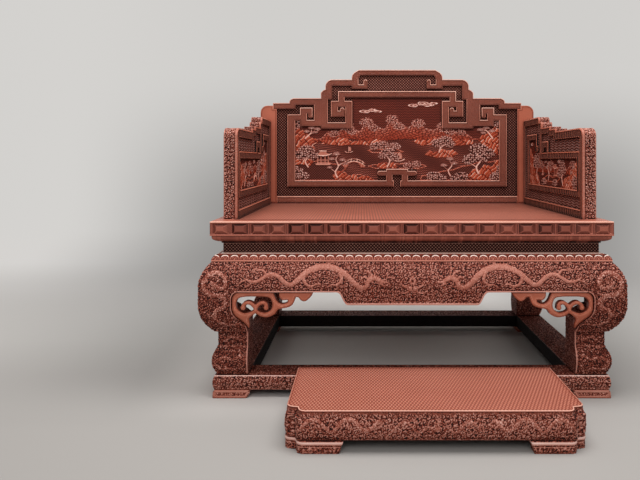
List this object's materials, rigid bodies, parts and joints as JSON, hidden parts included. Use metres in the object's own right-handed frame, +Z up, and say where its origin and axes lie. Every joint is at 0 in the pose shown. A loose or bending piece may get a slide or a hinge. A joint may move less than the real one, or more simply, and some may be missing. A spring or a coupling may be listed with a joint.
{
  "type": "throne with footstool",
  "caption": "Carved lacquer throne: bulging legs on a base frame, stepped back and arms with squared scroll frets round carved landscapes, and a low footstool.",
  "frame": {"origin": "centre of the whole set's footprint, at floor level", "axes": "+Z up from the floor, -Y the front with the footstool, +X to the right as seen from the front"},
  "size_m": [1.209, 1.2336, 1.0445],
  "materials": {
    "carved_lacquer": "satin",
    "smooth_lacquer": "satin",
    "ground_lacquer": "satin",
    "wood_core": "matte"
  },
  "bodies": {
    "throne": {"base_rail_front": "carved_lacquer", "base_rail_right": "carved_lacquer", "base_rail_back": "carved_lacquer", "base_rail_left": "carved_lacquer", "base_foot_front_left": "smooth_lacquer", "base_foot_front_right": "smooth_lacquer", "base_foot_back_left": "smooth_lacquer", "base_foot_back_right": "smooth_lacquer", "leg_front_left": "carved_lacquer", "leg_front_right": "carved_lacquer", "leg_back_left": "carved_lacquer", "leg_back_right": "carved_lacquer", "apron_front": "carved_lacquer", "apron_right": "carved_lacquer", "apron_back": "carved_lacquer", "apron_left": "carved_lacquer", "bracket_front_left": "smooth_lacquer", "bracket_front_right": "smooth_lacquer", "bracket_right_front": "smooth_lacquer", "bracket_right_back": "smooth_lacquer", "bracket_back_right": "smooth_lacquer", "bracket_back_left": "smooth_lacquer", "bracket_left_back": "smooth_lacquer", "bracket_left_front": "smooth_lacquer", "shoulder_moulding_front": "smooth_lacquer", "shoulder_moulding_right": "smooth_lacquer", "shoulder_moulding_back": "smooth_lacquer", "shoulder_moulding_left": "smooth_lacquer", "waist_board_front": "ground_lacquer", "waist_board_right": "ground_lacquer", "waist_board_back": "ground_lacquer", "waist_board_left": "ground_lacquer", "seat_rail_front": "smooth_lacquer", "seat_rail_right": "smooth_lacquer", "seat_rail_back": "smooth_lacquer", "seat_rail_left": "smooth_lacquer", "seat_panel": "smooth_lacquer", "seat_battens": "wood_core", "back_panel": "ground_lacquer", "back_fret_frame": "smooth_lacquer", "back_scene": "carved_lacquer", "back_bottom_rail": "smooth_lacquer", "back_tenons": "wood_core", "back_stile_left": "smooth_lacquer", "back_stile_right": "smooth_lacquer", "arm_panel_left": "ground_lacquer", "arm_panel_right": "ground_lacquer", "arm_fret_frame_left": "smooth_lacquer", "arm_fret_frame_right": "smooth_lacquer", "arm_scene_left": "carved_lacquer", "arm_scene_right": "carved_lacquer", "arm_tenons": "wood_core"},
    "footstool": {"footstool_top": "smooth_lacquer", "footstool_apron_front": "carved_lacquer", "footstool_apron_right": "carved_lacquer", "footstool_apron_back": "carved_lacquer", "footstool_apron_left": "carved_lacquer", "footstool_feet": "smooth_lacquer"}
  },
  "joints": [
    {"name": "footstool_slide", "type": "slide", "parent": "throne", "child": "footstool", "axis": [0, -1, 0], "range_m": [0, 0.25]}
  ]
}
